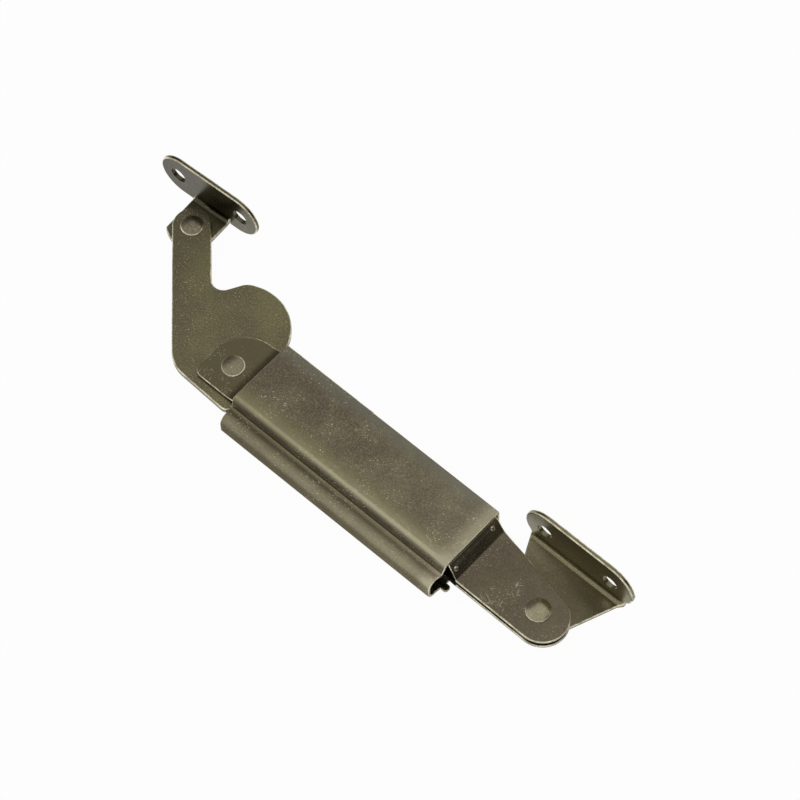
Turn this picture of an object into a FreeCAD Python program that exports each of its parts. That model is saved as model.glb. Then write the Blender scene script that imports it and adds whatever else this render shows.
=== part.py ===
import FreeCAD, Part
import math
import os

from FreeCAD import Placement, Rotation, Vector

# Lid stay, lying on the back of its housing: +X from the cam pivot to the body bracket,
# +Y from the housing to the screw flanges, +Z out of the front plate. All sizes in mm.
# The drawing below is laid out from the cam pivot and the mid-plane of the cam arm;
# every finished piece is then moved so that the origin is the middle of the body
# flange's screw pattern, on the flange's outer face.

# Clearances
RUNNING_FIT = 0.05
PART_GAP = 0.15

# Rivets
CAM_SHANK_R = 3.0
BRACKET_SHANK_R = 2.5
LOW_HEAD_R = 3.9
LOW_HEAD_HEIGHT = 1.0
BODY_HEAD_R = 4.1
BODY_HEAD_HEIGHT = 1.6
TAIL_R = 3.5
TAIL_HEIGHT = 1.1

# Cam arm
ARM_THICKNESS = 2.2
ARM_ANGLE = 133.5
ARM_OFFSET = -13.25
ARM_WIDTH = 12.5
LID_PIVOT = (-45.87, 29.34)
ARM_END_BEYOND_PIVOT = 0.4
LOBE_CENTRE = (-8.3, 11.4)
LOBE_R = 16.6
NOTCH_CENTRE = (-24.5, 21.6)
NOTCH_R = 3.95
HEEL_LEFT = (-10.0, -12.2)
HEEL_RIGHT = (10.05, -13.05)
HEEL_CORNER_R = 12.0
TOE_R = 3.0

# Brackets
BRACKET_THICKNESS = 1.5
SCREW_SPACING = 25.8
SCREW_HOLE_R = 2.9
BODY_PIVOT = (126.7, -0.3)
BODY_BEND_R = 3.0
BODY_FLANGE_LENGTH = 42.2
BODY_FLANGE_HEIGHT = 17.9
BODY_SCREWS_FROM_PIVOT = -0.95
BODY_FLANGE_BEYOND_SCREWS = 0.6
BODY_FLANGE_INNER = 18.5
BODY_LEG_HALF_WIDTH = 16.7
BODY_LEG_END_R = 8.9
LID_BEND_R = 1.5
LID_FLANGE_LENGTH = 40.0
LID_FLANGE_HEIGHT = 17.2
LID_FLANGE_TURN = 3.0
LID_FLANGE_MIDDLE = -0.8
LID_FLANGE_INNER = 9.75
LID_LEG_HALF_WIDTH = 7.45
LID_LEG_CORNER = -4.5
LID_LEG_TIP = -7.5

# Housing plates
PLATE_THICKNESS = 1.0
PLATE_INNER = 4.5
EAR_INNER = 1.3
NOSE_INNER = 0.95
PLATE_BEND_R = 1.2
EAR_BEND_R = 9.4
CAM_SLOPE = (8.15, 12.75)
NOSE_SLOPE = (97.0, 101.4)
PLATE_SIDE_LOW = -9.5
PLATE_SIDE_HIGH = 13.7
PLATE_COVERED_LOW = -8.1
EAR_LEFT = -8.7
EAR_CENTRE = (4.2, 0.5)
EAR_R = 12.9
NOSE_FROM_PIVOT = (2.3, -0.75)
NOSE_R = 8.6
NOSE_SHOULDER_X = 98.7
NIB_PLACES = ((99.4, -6.9), (98.9, 10.5))
NIB_R = 0.55

# Cover
SHEET = 0.9
COVER_START = 9.3
COVER_END = 97.6
COVER_OUTER = 6.5
COVER_WALL = 15.3
COVER_FACE_EDGE = 15.35
COVER_SLOT_END = 45.5
HOOD_SIDE = -16.8
HOOD_TOP = 2.8
HOOD_FOOT = -11.1
HOOD_FACE_CORNER = -9.4
HOOD_INSET = 0.6
HOOD_SLANT = 2.5
FOLD_R = 0.6
FACE_FOLD_R = 1.4
VALLEY_R = 1.3
SHOULDER_R = 3.3
HOOD_UNDER_R = 2.7
COVER_TAB = (-11.7, -9.1)
COVER_TAB_REACH = 1.9
COVER_TAB_CORNER_R = 1.0
RETURN_LOW = -5.5
RETURN_HIGH = 10.4

# Follower, springs and their seat
FOLLOWER_FACE = 10.35
FOLLOWER_STEP = 18.0
FOLLOWER_BACK = 30.0
FOLLOWER_SIDES = (-7.9, 12.8)
TONGUE_HALF = 1.0
BLOCK_HALF = 4.3
SPRING_AXES = (-3.0, 7.4)
SPRING_OUTER_R = 3.8
SPRING_WIRE_R = 0.65
SPRING_TURNS = 13
SPIGOT_R = 2.4
SPIGOT_LENGTH = 6.0
SEAT_FRONT = 90.0
SEAT_BACK = 94.0
SEAT_TAB = (-1.6, 6.4)
# How far a cutting block reaches past what it cuts
CUT_REACH = 5.0

ARM_HALF = ARM_THICKNESS / 2
BRACKET_HALF = BRACKET_THICKNESS / 2
LID_LEG_TOP = -ARM_HALF - PART_GAP
BODY_FLANGE_FOOT = -BRACKET_HALF
BODY_SCREWS_X = BODY_PIVOT[0] + BODY_SCREWS_FROM_PIVOT
NOSE_CENTRE = (BODY_PIVOT[0] + NOSE_FROM_PIVOT[0], BODY_PIVOT[1] + NOSE_FROM_PIVOT[1])
ORIGIN = Vector(
    BODY_SCREWS_X,
    BODY_FLANGE_INNER + BRACKET_THICKNESS,
    BODY_FLANGE_FOOT + BODY_FLANGE_HEIGHT / 2,
)


def polar(radius, degrees, centre=(0.0, 0.0)):
    """Point at an angle on a circle."""
    turn = math.radians(degrees)
    return (centre[0] + radius * math.cos(turn), centre[1] + radius * math.sin(turn))


def rounded_wire(corners):
    """Closed wire through (x, y, r) corners, each rounded by its own radius."""
    count = len(corners)
    starts, ends, middles = [], [], []
    for index, (x, y, radius) in enumerate(corners):
        here = Vector(x, y, 0)
        before = Vector(corners[index - 1][0], corners[index - 1][1], 0)
        after = Vector(corners[(index + 1) % count][0], corners[(index + 1) % count][1], 0)
        back = (before - here).normalize()
        ahead = (after - here).normalize()
        if radius <= 0:
            starts.append(here)
            ends.append(here)
            middles.append(None)
            continue
        half = back.getAngle(ahead) / 2
        reach = radius / math.tan(half)
        bisector = (back + ahead).normalize()
        centre = here + bisector * (radius / math.sin(half))
        starts.append(here + back * reach)
        ends.append(here + ahead * reach)
        middles.append(centre - bisector * radius)
    edges = []
    for index in range(count):
        if middles[index] is not None:
            edges.append(Part.Arc(starts[index], middles[index], ends[index]).toShape())
        following = (index + 1) % count
        if ends[index].distanceToPoint(starts[following]) > 1e-6:
            edges.append(Part.makeLine(ends[index], starts[following]))
    return Part.Wire(edges)


def rounded_face(corners):
    """Flat face from (x, y, r) corners."""
    return Part.Face(rounded_wire(corners))


def slab(face, low, high):
    """Solid from a face in the XY plane, between two heights."""
    moved = face.copy()
    moved.translate(Vector(0, 0, low))
    return moved.extrude(Vector(0, 0, high - low))


def disc(centre, radius, low, high):
    """Round solid standing along Z between two heights."""
    return Part.makeCylinder(radius, high - low, Vector(centre[0], centre[1], low))


def offset_skin(points, thickness):
    """Second skin of a folded sheet, lying to the left of the first."""
    skin = []
    last = len(points) - 1
    for index, point in enumerate(points):
        here = Vector(point[0], point[1], 0)
        sides = []
        if index > 0:
            sides.append((here - Vector(points[index - 1][0], points[index - 1][1], 0)).normalize())
        if index < last:
            sides.append((Vector(points[index + 1][0], points[index + 1][1], 0) - here).normalize())
        normals = [Vector(-side.y, side.x, 0) for side in sides]
        if len(normals) == 1:
            moved = here + normals[0] * thickness
        else:
            middle = (normals[0] + normals[1]).normalize()
            moved = here + middle * (thickness / middle.dot(normals[0]))
        skin.append((moved.x, moved.y))
    return skin


def sheet_profile(points, thickness):
    """Cross-section of a folded sheet: (u, v, inside bend radius) points of its first skin."""
    second = offset_skin(points, thickness)
    first_skin, second_skin = [], []
    last = len(points) - 1
    for index, (u, v, bend) in enumerate(points):
        if index in (0, last):
            first_skin.append((u, v, 0))
            second_skin.append((second[index][0], second[index][1], 0))
            continue
        came = (u - points[index - 1][0], v - points[index - 1][1])
        goes = (points[index + 1][0] - u, points[index + 1][1] - v)
        turns_left = came[0] * goes[1] - came[1] * goes[0] > 0
        outer, inner = bend + thickness, bend
        first_skin.append((u, v, outer if turns_left else inner))
        second_skin.append((second[index][0], second[index][1], inner if turns_left else outer))
    return rounded_face(first_skin + second_skin[::-1])


def along_x(face, start, end):
    """Solid from a (y, z) face drawn in the XY plane, run along X."""
    turned = face.copy()
    turned.Placement = Placement(Vector(start, 0, 0), Rotation(Vector(0, 1, 0), Vector(0, 0, 1), Vector(1, 0, 0), "XYZ"))
    return turned.extrude(Vector(end - start, 0, 0))


def along_y(face, start, end):
    """Solid from an (x, z) face drawn in the XY plane, run along Y."""
    turned = face.copy()
    turned.Placement = Placement(Vector(0, start, 0), Rotation(Vector(1, 0, 0), 90))
    return turned.extrude(Vector(0, end - start, 0))


def domed_head(centre, radius, base, height, upward=1):
    """Rivet head: a short round rim under a low dome."""
    rim = height * 0.3
    rise = height - rim
    dome_r = (radius * radius + rise * rise) / (2 * rise)
    body = disc((0, 0), radius, 0, height)
    ball = Part.makeSphere(dome_r, Vector(0, 0, height - dome_r))
    head = body.common(ball)
    if upward < 0:
        head.rotate(Vector(0, 0, 0), Vector(1, 0, 0), 180)
    head.translate(Vector(centre[0], centre[1], base))
    return head


def tail_head(centre, base):
    """Peened tail below a stack, with a broken edge and a shallow dimple."""
    top = disc((0, 0), TAIL_R, 0, TAIL_HEIGHT)
    edge = [e for e in top.Edges if abs(e.BoundBox.ZMin - TAIL_HEIGHT) < 1e-6 and e.BoundBox.ZLength < 1e-6]
    top = top.makeFillet(0.5, edge)
    dimple = Part.makeSphere(4.0, Vector(0, 0, TAIL_HEIGHT + 3.7))
    tail = top.cut(dimple)
    tail.rotate(Vector(0, 0, 0), Vector(1, 0, 0), 180)
    tail.translate(Vector(centre[0], centre[1], base))
    return tail


def make_rivet(centre, shank_r, top, bottom, head_r, head_height):
    """Whole rivet through a stack whose faces lie at top and bottom."""
    shank = disc(centre, shank_r, bottom - 0.2, top + 0.2)
    head = domed_head(centre, head_r, top, head_height)
    return shank.fuse([head, tail_head(centre, bottom)]).removeSplitter()


def arm_point(along, across):
    """Point from distances along the arm's strip and across it."""
    turn = math.radians(ARM_ANGLE)
    forward = (math.cos(turn), math.sin(turn))
    side = (math.sin(turn), -math.cos(turn))
    return (along * forward[0] + across * side[0], along * forward[1] + across * side[1])


def make_cam_arm():
    """Flat arm with the cam lobe at the pivot and a straight strip to the lid."""
    turn = math.radians(ARM_ANGLE)
    lid_along = LID_PIVOT[0] * math.cos(turn) + LID_PIVOT[1] * math.sin(turn)
    end_along = lid_along + ARM_END_BEYOND_PIVOT
    half = ARM_WIDTH / 2
    inner_edge = ARM_OFFSET + half
    outer_edge = ARM_OFFSET - half
    end = arm_point(end_along, ARM_OFFSET)
    notch_foot = (
        NOTCH_CENTRE[0] - NOTCH_R * math.sin(turn),
        NOTCH_CENTRE[1] + NOTCH_R * math.cos(turn),
    )
    notch_side = polar(NOTCH_R, -30.5, NOTCH_CENTRE)
    lobe_start = polar(LOBE_R, 113.8, LOBE_CENTRE)
    # Where the strip's outer edge meets the line of the heel.
    slope = (HEEL_RIGHT[1] - HEEL_LEFT[1]) / (HEEL_RIGHT[0] - HEEL_LEFT[0])
    far = arm_point(end_along, outer_edge)
    near = arm_point(0, outer_edge)
    rise = (far[1] - near[1]) / (far[0] - near[0])
    corner_x = (near[1] - rise * near[0] - HEEL_LEFT[1] + slope * HEEL_LEFT[0]) / (slope - rise)
    corner = (corner_x, HEEL_LEFT[1] + slope * (corner_x - HEEL_LEFT[0]))
    top_face = LOBE_CENTRE[0] + LOBE_R

    def v(point):
        return Vector(point[0], point[1], 0)

    edges = [
        Part.Arc(
            v(arm_point(end_along, inner_edge)),
            v(arm_point(end_along + half, ARM_OFFSET)),
            v(arm_point(end_along, outer_edge)),
        ).toShape(),
        Part.makeLine(v(arm_point(end_along, outer_edge)), v(corner)),
        Part.makeLine(v(corner), v(HEEL_RIGHT)),
        Part.makeLine(v(HEEL_RIGHT), v((top_face, LOBE_CENTRE[1]))),
        Part.Arc(v((top_face, LOBE_CENTRE[1])), v(polar(LOBE_R, 57, LOBE_CENTRE)), v(lobe_start)).toShape(),
        Part.Arc(v(lobe_start), v((-17.55, 25.15)), v((-19.0, 23.25))).toShape(),
        Part.makeLine(v((-19.0, 23.25)), v(notch_side)),
        Part.Arc(v(notch_side), v(polar(NOTCH_R, -85, NOTCH_CENTRE)), v(notch_foot)).toShape(),
        Part.makeLine(v(notch_foot), v(arm_point(end_along, inner_edge))),
    ]
    plate = slab(Part.Face(Part.Wire(edges)), -ARM_HALF, ARM_HALF)
    heel = [e for e in plate.Edges if abs(e.BoundBox.XMin - corner[0]) < 0.01 and e.BoundBox.XLength < 0.01]
    plate = plate.makeFillet(HEEL_CORNER_R, heel)
    toe = [e for e in plate.Edges if abs(e.BoundBox.XMin - HEEL_RIGHT[0]) < 0.01 and e.BoundBox.XLength < 0.01]
    plate = plate.makeFillet(TOE_R, toe)
    plate = plate.cut(disc((0, 0), CAM_SHANK_R + RUNNING_FIT, -5, 5))
    return plate.cut(disc(LID_PIVOT, BRACKET_SHANK_R, -5, 5))


def stadium(middle, low, length, height):
    """Outline with round ends, in its own plane."""
    half = length / 2
    radius = height / 2 - 0.001
    return rounded_face([
        (middle - half, low, radius),
        (middle + half, low, radius),
        (middle + half, low + height, radius),
        (middle - half, low + height, radius),
    ])


def make_flange(middle, screws, low, inner, length, height):
    """Screw flange standing along Z, with two screw holes."""
    flange = along_y(stadium(middle, low, length, height), inner, inner + BRACKET_THICKNESS)
    for side in (-1, 1):
        hole = Part.makeCylinder(
            SCREW_HOLE_R,
            BRACKET_THICKNESS + 2 * CUT_REACH,
            Vector(screws + side * SCREW_SPACING / 2, inner - CUT_REACH, low + height / 2),
            Vector(0, 1, 0),
        )
        flange = flange.cut(hole)
    return flange


def folded_leg(reach, inner, bend, low, top, start, end):
    """L-shaped strip: a leg lying flat and a wall standing up from its far edge."""
    profile = sheet_profile([
        (reach, low, 0),
        (inner + BRACKET_THICKNESS, low, bend),
        (inner + BRACKET_THICKNESS, top, 0),
    ], BRACKET_THICKNESS)
    return along_x(profile, start, end)


def tangent_point(centre, radius, point, side):
    """Where a line from a point touches a circle, on the chosen side."""
    dx, dy = point[0] - centre[0], point[1] - centre[1]
    distance = math.hypot(dx, dy)
    lean = math.degrees(math.acos(radius / distance))
    return polar(radius, math.degrees(math.atan2(dy, dx)) + side * lean, centre)


def make_body_bracket():
    """Bracket for the cabinet: flared leg round the body rivet, folded to a screw flange."""
    low = BODY_FLANGE_FOOT
    bend_top = low + BRACKET_THICKNESS + BODY_BEND_R
    left = BODY_SCREWS_X - BODY_LEG_HALF_WIDTH
    right = BODY_SCREWS_X + BODY_LEG_HALF_WIDTH
    middle = BODY_SCREWS_X + BODY_FLANGE_BEYOND_SCREWS
    bend_start = BODY_FLANGE_INNER - BODY_BEND_R
    back = BODY_FLANGE_INNER + BRACKET_THICKNESS + CUT_REACH
    end_r = BODY_FLANGE_HEIGHT / 2
    flared = BODY_FLANGE_LENGTH / 2 - end_r + math.sqrt(end_r ** 2 - (end_r - bend_top + low) ** 2)
    flange = make_flange(middle, BODY_SCREWS_X, low, BODY_FLANGE_INNER, BODY_FLANGE_LENGTH, BODY_FLANGE_HEIGHT)
    flange = flange.cut(Part.makeBox(
        BODY_FLANGE_LENGTH + 2 * CUT_REACH,
        BRACKET_THICKNESS + 2 * CUT_REACH,
        bend_top - low + CUT_REACH,
        Vector(middle - BODY_FLANGE_LENGTH / 2 - CUT_REACH, BODY_FLANGE_INNER - CUT_REACH, low - CUT_REACH),
    ))
    reach = BODY_PIVOT[1] - BODY_LEG_END_R - CUT_REACH
    leg = folded_leg(
        reach, BODY_FLANGE_INNER, BODY_BEND_R, low, bend_top, left - CUT_REACH, right + CUT_REACH
    )
    touch_left = tangent_point(BODY_PIVOT, BODY_LEG_END_R, (left, bend_start), 1)
    touch_right = tangent_point(BODY_PIVOT, BODY_LEG_END_R, (right, bend_start), -1)
    tip = (BODY_PIVOT[0], BODY_PIVOT[1] - BODY_LEG_END_R)
    corners = [
        touch_right,
        (right, bend_start),
        (middle + flared, BODY_FLANGE_INNER),
        (middle + flared, back),
        (middle - flared, back),
        (middle - flared, BODY_FLANGE_INNER),
        (left, bend_start),
        touch_left,
    ]
    points = [Vector(x, y, 0) for x, y in corners]
    edges = [Part.makeLine(a, b) for a, b in zip(points, points[1:])]
    edges.append(Part.Arc(points[-1], Vector(tip[0], tip[1], 0), points[0]).toShape())
    leg = leg.common(slab(Part.Face(Part.Wire(edges)), -5, 5))
    bracket = flange.fuse(leg).removeSplitter()
    return bracket.cut(disc(BODY_PIVOT, BRACKET_SHANK_R + RUNNING_FIT, -5, 5))


def make_lid_bracket():
    """Bracket for the lid: narrow leg behind the arm, folded to a screw flange."""
    low = LID_LEG_TOP - BRACKET_THICKNESS
    top = low + LID_FLANGE_HEIGHT
    half = LID_LEG_HALF_WIDTH
    flange = make_flange(
        LID_FLANGE_MIDDLE, LID_FLANGE_MIDDLE, low, LID_FLANGE_INNER, LID_FLANGE_LENGTH, LID_FLANGE_HEIGHT
    )
    bend_top = low + BRACKET_THICKNESS + LID_BEND_R
    flange = flange.cut(Part.makeBox(
        2 * half,
        BRACKET_THICKNESS + 2 * CUT_REACH,
        bend_top - low + CUT_REACH,
        Vector(-half, LID_FLANGE_INNER - CUT_REACH, low - CUT_REACH),
    ))
    leg = folded_leg(LID_LEG_TIP - CUT_REACH, LID_FLANGE_INNER, LID_BEND_R, low, bend_top, -half, half)
    a, tip, b = Vector(-half, LID_LEG_CORNER, 0), Vector(0, LID_LEG_TIP, 0), Vector(half, LID_LEG_CORNER, 0)
    far = LID_FLANGE_INNER + BRACKET_THICKNESS + CUT_REACH
    c, d = Vector(half, far, 0), Vector(-half, far, 0)
    plan = Part.Wire([
        Part.Arc(a, tip, b).toShape(),
        Part.makeLine(b, c),
        Part.makeLine(c, d),
        Part.makeLine(d, a),
    ])
    leg = leg.common(slab(Part.Face(plan), low - 1, top + 1))
    bracket = flange.fuse(leg).removeSplitter()
    bracket = bracket.cut(disc((0, 0), BRACKET_SHANK_R + RUNNING_FIT, low - 5, low + 8))
    bracket.rotate(Vector(0, 0, 0), Vector(0, 0, 1), LID_FLANGE_TURN)
    bracket.translate(Vector(LID_PIVOT[0], LID_PIVOT[1], 0))
    return bracket


def plate_plan():
    """Outline of a housing plate seen from the front."""
    nose_top = tangent_point(NOSE_CENTRE, NOSE_R, (NOSE_SHOULDER_X, PLATE_SIDE_HIGH), -1)
    nose_low = (NOSE_CENTRE[0], NOSE_CENTRE[1] - NOSE_R)

    def v(x, y):
        return Vector(x, y, 0)

    ear_low_left = v(EAR_LEFT + 0.3, PLATE_SIDE_LOW + 3.2)
    ear_side = v(*polar(EAR_R, 180, EAR_CENTRE))
    ear_end = v(*polar(EAR_R, 88, EAR_CENTRE))
    covered = v(CAM_SLOPE[0], PLATE_SIDE_HIGH)
    edges = [
        Part.Arc(v(EAR_LEFT + 3.6, PLATE_SIDE_LOW), v(EAR_LEFT + 1.1, PLATE_SIDE_LOW + 0.9), ear_low_left).toShape(),
        Part.Arc(ear_low_left, v(EAR_LEFT + 0.06, (ear_low_left.y + ear_side.y) / 2), ear_side).toShape(),
        Part.Arc(ear_side, v(*polar(EAR_R, 135, EAR_CENTRE)), ear_end).toShape(),
        Part.makeLine(ear_end, covered),
        Part.makeLine(covered, v(NOSE_SHOULDER_X, PLATE_SIDE_HIGH)),
        Part.makeLine(v(NOSE_SHOULDER_X, PLATE_SIDE_HIGH), v(*nose_top)),
        Part.Arc(v(*nose_top), v(*polar(NOSE_R, -5, NOSE_CENTRE)), v(*nose_low)).toShape(),
        Part.makeLine(v(*nose_low), v(NOSE_SLOPE[1], PLATE_SIDE_LOW)),
        Part.makeLine(v(NOSE_SLOPE[1], PLATE_SIDE_LOW), v(NOSE_SLOPE[0], PLATE_COVERED_LOW)),
        Part.makeLine(v(NOSE_SLOPE[0], PLATE_COVERED_LOW), v(CAM_SLOPE[1], PLATE_COVERED_LOW)),
        Part.makeLine(v(CAM_SLOPE[1], PLATE_COVERED_LOW), v(CAM_SLOPE[0], PLATE_SIDE_LOW)),
        Part.makeLine(v(CAM_SLOPE[0], PLATE_SIDE_LOW), v(EAR_LEFT + 3.6, PLATE_SIDE_LOW)),
    ]
    return Part.Face(Part.Wire(edges))


def make_plate(with_nibs):
    """Front housing plate: low ear, raised middle over the springs, low nose."""
    profile = sheet_profile([
        (EAR_LEFT - 2, EAR_INNER, 0),
        (CAM_SLOPE[0], EAR_INNER, EAR_BEND_R),
        (CAM_SLOPE[1], PLATE_INNER, PLATE_BEND_R),
        (NOSE_SLOPE[0], PLATE_INNER, PLATE_BEND_R),
        (NOSE_SLOPE[1], NOSE_INNER, PLATE_BEND_R),
        (NOSE_CENTRE[0] + NOSE_R + 2, NOSE_INNER, 0),
    ], PLATE_THICKNESS)
    sheet = along_y(profile, PLATE_SIDE_LOW - 1, PLATE_SIDE_HIGH + 1)
    plate = sheet.common(slab(plate_plan(), -1, 8))
    if with_nibs:
        for x, y in NIB_PLACES:
            slope_z = PLATE_INNER + (NOSE_INNER - PLATE_INNER) * (x - NOSE_SLOPE[0]) / (NOSE_SLOPE[1] - NOSE_SLOPE[0])
            nib = Part.makeSphere(NIB_R, Vector(x, y, slope_z + PLATE_THICKNESS))
            plate = plate.fuse(nib)
    plate = plate.cut(disc((0, 0), CAM_SHANK_R, -5, 8))
    plate = plate.cut(disc(BODY_PIVOT, BRACKET_SHANK_R, -5, 8))
    slot = Part.makeBox(
        SEAT_BACK - SEAT_FRONT + 0.1,
        SEAT_TAB[1] - SEAT_TAB[0] + 0.1,
        6,
        Vector(SEAT_FRONT - 0.05, SEAT_TAB[0] - 0.05, 2),
    )
    return plate.cut(slot).removeSplitter()


def make_cover():
    """Folded sheet cover with a bulged hood on its low side and a slot for the arm."""
    points = [
        (RETURN_LOW, -COVER_OUTER, 0),
        (HOOD_SIDE, -COVER_OUTER, HOOD_UNDER_R),
        (HOOD_SIDE, HOOD_TOP, SHOULDER_R),
        (HOOD_FOOT, HOOD_TOP, VALLEY_R),
        (HOOD_FACE_CORNER, COVER_OUTER, FACE_FOLD_R),
        (COVER_WALL, COVER_OUTER, FOLD_R),
        (COVER_WALL, -COVER_OUTER, FOLD_R),
        (RETURN_HIGH, -COVER_OUTER, 0),
    ]
    profile = sheet_profile(points, -SHEET)
    cover = along_x(profile, COVER_START, COVER_END)
    for end, inset in ((COVER_START, HOOD_INSET), (COVER_END, -HOOD_INSET)):
        slant = Part.makePolygon([
            Vector(end, HOOD_FACE_CORNER, 0),
            Vector(end + inset, HOOD_FOOT - HOOD_SLANT, 0),
            Vector(end + inset, HOOD_SIDE - CUT_REACH, 0),
            Vector(end - inset, HOOD_SIDE - CUT_REACH, 0),
            Vector(end - inset, HOOD_FACE_CORNER, 0),
            Vector(end, HOOD_FACE_CORNER, 0),
        ])
        cover = cover.cut(slab(Part.Face(slant), -COVER_OUTER - CUT_REACH, COVER_OUTER + CUT_REACH))
    slot = Part.makeBox(
        COVER_SLOT_END - COVER_START + CUT_REACH,
        COVER_WALL - RETURN_HIGH + 2 * CUT_REACH,
        2 * COVER_OUTER - SHEET + CUT_REACH,
        Vector(COVER_START - CUT_REACH, RETURN_HIGH - CUT_REACH, -COVER_OUTER - CUT_REACH),
    )
    cover = cover.cut(slot)
    flat_from = COVER_WALL - FOLD_R - SHEET - CUT_REACH
    edge = Part.makeBox(
        COVER_SLOT_END - COVER_START,
        COVER_FACE_EDGE - flat_from,
        SHEET,
        Vector(COVER_START, flat_from, COVER_OUTER - SHEET),
    )
    inside = COVER_END - CUT_REACH
    reach = COVER_END + COVER_TAB_REACH
    tab = slab(rounded_face([
        (inside, COVER_TAB[0], 0),
        (reach, COVER_TAB[0], COVER_TAB_CORNER_R),
        (reach, COVER_TAB[1], COVER_TAB_CORNER_R),
        (inside, COVER_TAB[1], 0),
    ]), -COVER_OUTER, -COVER_OUTER + SHEET)
    return cover.fuse([edge, tab]).removeSplitter()


def make_follower():
    """Sliding block with a thin tongue on the cam and two spigots for the springs."""
    low, high = FOLLOWER_SIDES
    depth = high - low
    tongue = Part.makeBox(FOLLOWER_STEP - FOLLOWER_FACE, depth, 2 * TONGUE_HALF, Vector(FOLLOWER_FACE, low, -TONGUE_HALF))
    block = Part.makeBox(FOLLOWER_BACK - FOLLOWER_STEP, depth, 2 * BLOCK_HALF, Vector(FOLLOWER_STEP, low, -BLOCK_HALF))
    spigots = [
        Part.makeCylinder(SPIGOT_R, SPIGOT_LENGTH, Vector(FOLLOWER_BACK, y, 0), Vector(1, 0, 0)) for y in SPRING_AXES
    ]
    return block.fuse([tongue] + spigots).removeSplitter()


def make_seat():
    """Fixed block behind the springs, with tabs through both plates."""
    low, high = FOLLOWER_SIDES
    block = Part.makeBox(SEAT_BACK - SEAT_FRONT, high - low, 2 * BLOCK_HALF, Vector(SEAT_FRONT, low, -BLOCK_HALF))
    tab_half = PLATE_INNER + PLATE_THICKNESS
    tab = Part.makeBox(SEAT_BACK - SEAT_FRONT, SEAT_TAB[1] - SEAT_TAB[0], 2 * tab_half, Vector(SEAT_FRONT, SEAT_TAB[0], -tab_half))
    spigots = [
        Part.makeCylinder(SPIGOT_R, SPIGOT_LENGTH, Vector(SEAT_FRONT, y, 0), Vector(-1, 0, 0)) for y in SPRING_AXES
    ]
    return block.fuse([tab] + spigots).removeSplitter()


def make_spring(y):
    """Compression spring along X between the follower and its seat."""
    coil_r = SPRING_OUTER_R - SPRING_WIRE_R
    length = SEAT_FRONT - FOLLOWER_BACK - 2 * SPRING_WIRE_R - 0.1
    helix = Part.makeHelix(length / SPRING_TURNS, length, coil_r)
    wire = Part.Wire(Part.makeCircle(SPRING_WIRE_R, Vector(coil_r, 0, 0), Vector(0, 1, 0)))
    coil = Part.Wire(helix.Edges).makePipeShell([wire], True, True)
    coil.rotate(Vector(0, 0, 0), Vector(0, 1, 0), 90)
    coil.translate(Vector(FOLLOWER_BACK + SPRING_WIRE_R + 0.05, y, 0))
    return coil


def build_all():
    """Every sub-part by its node name, in the drawing's own coordinates."""
    front_plate = make_plate(True)
    rear_plate = make_plate(False).mirror(Vector(0, 0, 0), Vector(0, 0, 1))
    ear_top = EAR_INNER + PLATE_THICKNESS
    nose_top = NOSE_INNER + PLATE_THICKNESS
    lid_leg_low = LID_LEG_TOP - BRACKET_THICKNESS
    return {
        "lid_bracket": make_lid_bracket(),
        "lid_rivet": make_rivet(LID_PIVOT, BRACKET_SHANK_R, ARM_HALF, lid_leg_low - PART_GAP, LOW_HEAD_R, LOW_HEAD_HEIGHT),
        "cam_arm": make_cam_arm(),
        "cam_pivot_rivet": make_rivet((0, 0), CAM_SHANK_R, ear_top, -ear_top, LOW_HEAD_R, LOW_HEAD_HEIGHT),
        "front_plate": front_plate,
        "rear_plate": rear_plate,
        "cover": make_cover(),
        "cam_follower": make_follower(),
        "spring_1": make_spring(SPRING_AXES[0]),
        "spring_2": make_spring(SPRING_AXES[1]),
        "spring_seat": make_seat(),
        "body_bracket": make_body_bracket(),
        "body_rivet": make_rivet(BODY_PIVOT, BRACKET_SHANK_R, nose_top, -nose_top, BODY_HEAD_R, BODY_HEAD_HEIGHT),
    }


def main():
    """Move every piece into the part's frame and write it out."""
    os.makedirs("parts", exist_ok=True)
    for node, shape in build_all().items():
        solids = shape.Solids
        if len(solids) != 1:
            print("PIECES", node, len(solids))
        solid = solids[0] if solids else shape
        if not solid.isValid():
            print("INVALID", node)
        solid.translate(ORIGIN.negative())
        box = solid.BoundBox
        print(
            node,
            round(solid.Volume, 1),
            [round(value, 2) for value in (box.XMin, box.YMin, box.ZMin, box.XMax, box.YMax, box.ZMax)],
        )
        solid.exportStep("parts/" + node + ".step")


main()
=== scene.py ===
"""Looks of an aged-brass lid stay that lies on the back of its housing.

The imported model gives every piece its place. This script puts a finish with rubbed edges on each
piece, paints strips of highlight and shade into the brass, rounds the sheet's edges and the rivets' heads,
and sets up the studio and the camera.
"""

import itertools
import logging
import math
from dataclasses import dataclass
from enum import Enum

import bmesh
import bpy
from mathutils import Matrix, Vector


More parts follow.
